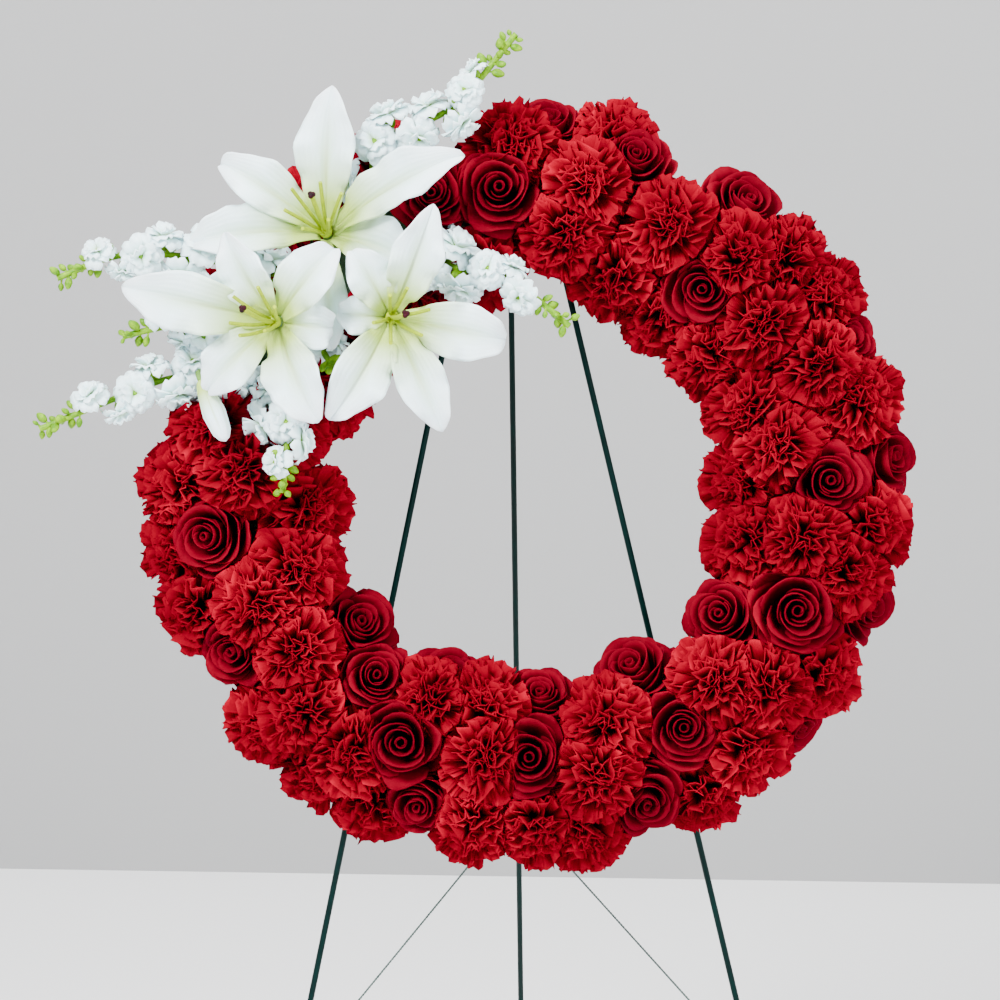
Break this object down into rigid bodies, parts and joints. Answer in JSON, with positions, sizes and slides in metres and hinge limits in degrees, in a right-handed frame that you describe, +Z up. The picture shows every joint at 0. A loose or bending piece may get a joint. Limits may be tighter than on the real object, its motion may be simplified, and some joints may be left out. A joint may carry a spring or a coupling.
{
  "type": "funeral wreath on wire easel",
  "caption": "Standing funeral wreath: a ring of red roses and carnations with a white lily spray, on a folding wire easel.",
  "frame": {"origin": "under the middle of the object's box, on the floor that its three legs stand on", "axes": "+Z up, the wreath's face looks along -Y, +X to the viewer's right"},
  "size_m": [0.5524, 0.4824, 0.9518],
  "materials": {
    "rose_petal": "satin",
    "carnation_petal": "matte",
    "lily_petal": "satin",
    "lily_stamen": "satin",
    "stock_petal": "matte",
    "floral_foam": "matte",
    "tray_plastic": "satin",
    "easel_wire": "gloss",
    "spreader_cord": "matte"
  },
  "bodies": {
    "stand": {"rose_01": "rose_petal", "rose_02": "rose_petal", "rose_03": "rose_petal", "rose_04": "rose_petal", "rose_05": "rose_petal", "rose_06": "rose_petal", "rose_07": "rose_petal", "rose_08": "rose_petal", "rose_09": "rose_petal", "rose_10": "rose_petal", "rose_11": "rose_petal", "rose_12": "rose_petal", "rose_13": "rose_petal", "rose_14": "rose_petal", "rose_15": "rose_petal", "rose_16": "rose_petal", "rose_17": "rose_petal", "rose_18": "rose_petal", "rose_19": "rose_petal", "rose_20": "rose_petal", "rose_21": "rose_petal", "rose_22": "rose_petal", "rose_23": "rose_petal", "rose_24": "rose_petal", "rose_25": "rose_petal", "carnations_01": "carnation_petal", "carnations_02": "carnation_petal", "carnations_03": "carnation_petal", "carnations_04": "carnation_petal", "carnations_05": "carnation_petal", "carnations_06": "carnation_petal", "carnations_07": "carnation_petal", "carnations_08": "carnation_petal", "carnations_09": "carnation_petal", "carnations_10": "carnation_petal", "carnations_11": "carnation_petal", "carnations_12": "carnation_petal", "carnations_13": "carnation_petal", "carnations_14": "carnation_petal", "carnations_15": "carnation_petal", "lily_top": "lily_petal", "lily_left": "lily_petal", "lily_right": "lily_petal", "lily_bud": "lily_petal", "lily_top_stamens": "lily_stamen", "lily_left_stamens": "lily_stamen", "lily_right_stamens": "lily_stamen", "stock_01": "stock_petal", "stock_02": "stock_petal", "stock_03": "stock_petal", "stock_04": "stock_petal", "stock_05": "stock_petal", "stock_06": "stock_petal", "stock_07": "stock_petal", "foam_ring": "floral_foam", "tray": "tray_plastic", "front_frame": "easel_wire", "cord_left": "spreader_cord", "cord_right": "spreader_cord"},
    "back_leg": {"back_leg": "easel_wire"}
  },
  "joints": [
    {"name": "back_leg_fold", "type": "hinge", "parent": "stand", "child": "back_leg", "pos_m": [0.02258, -0.05671, 0.89618], "axis": [-1, 0, 0], "range_deg": [0, 26], "deforming": ["cord_left", "cord_right"]}
  ]
}
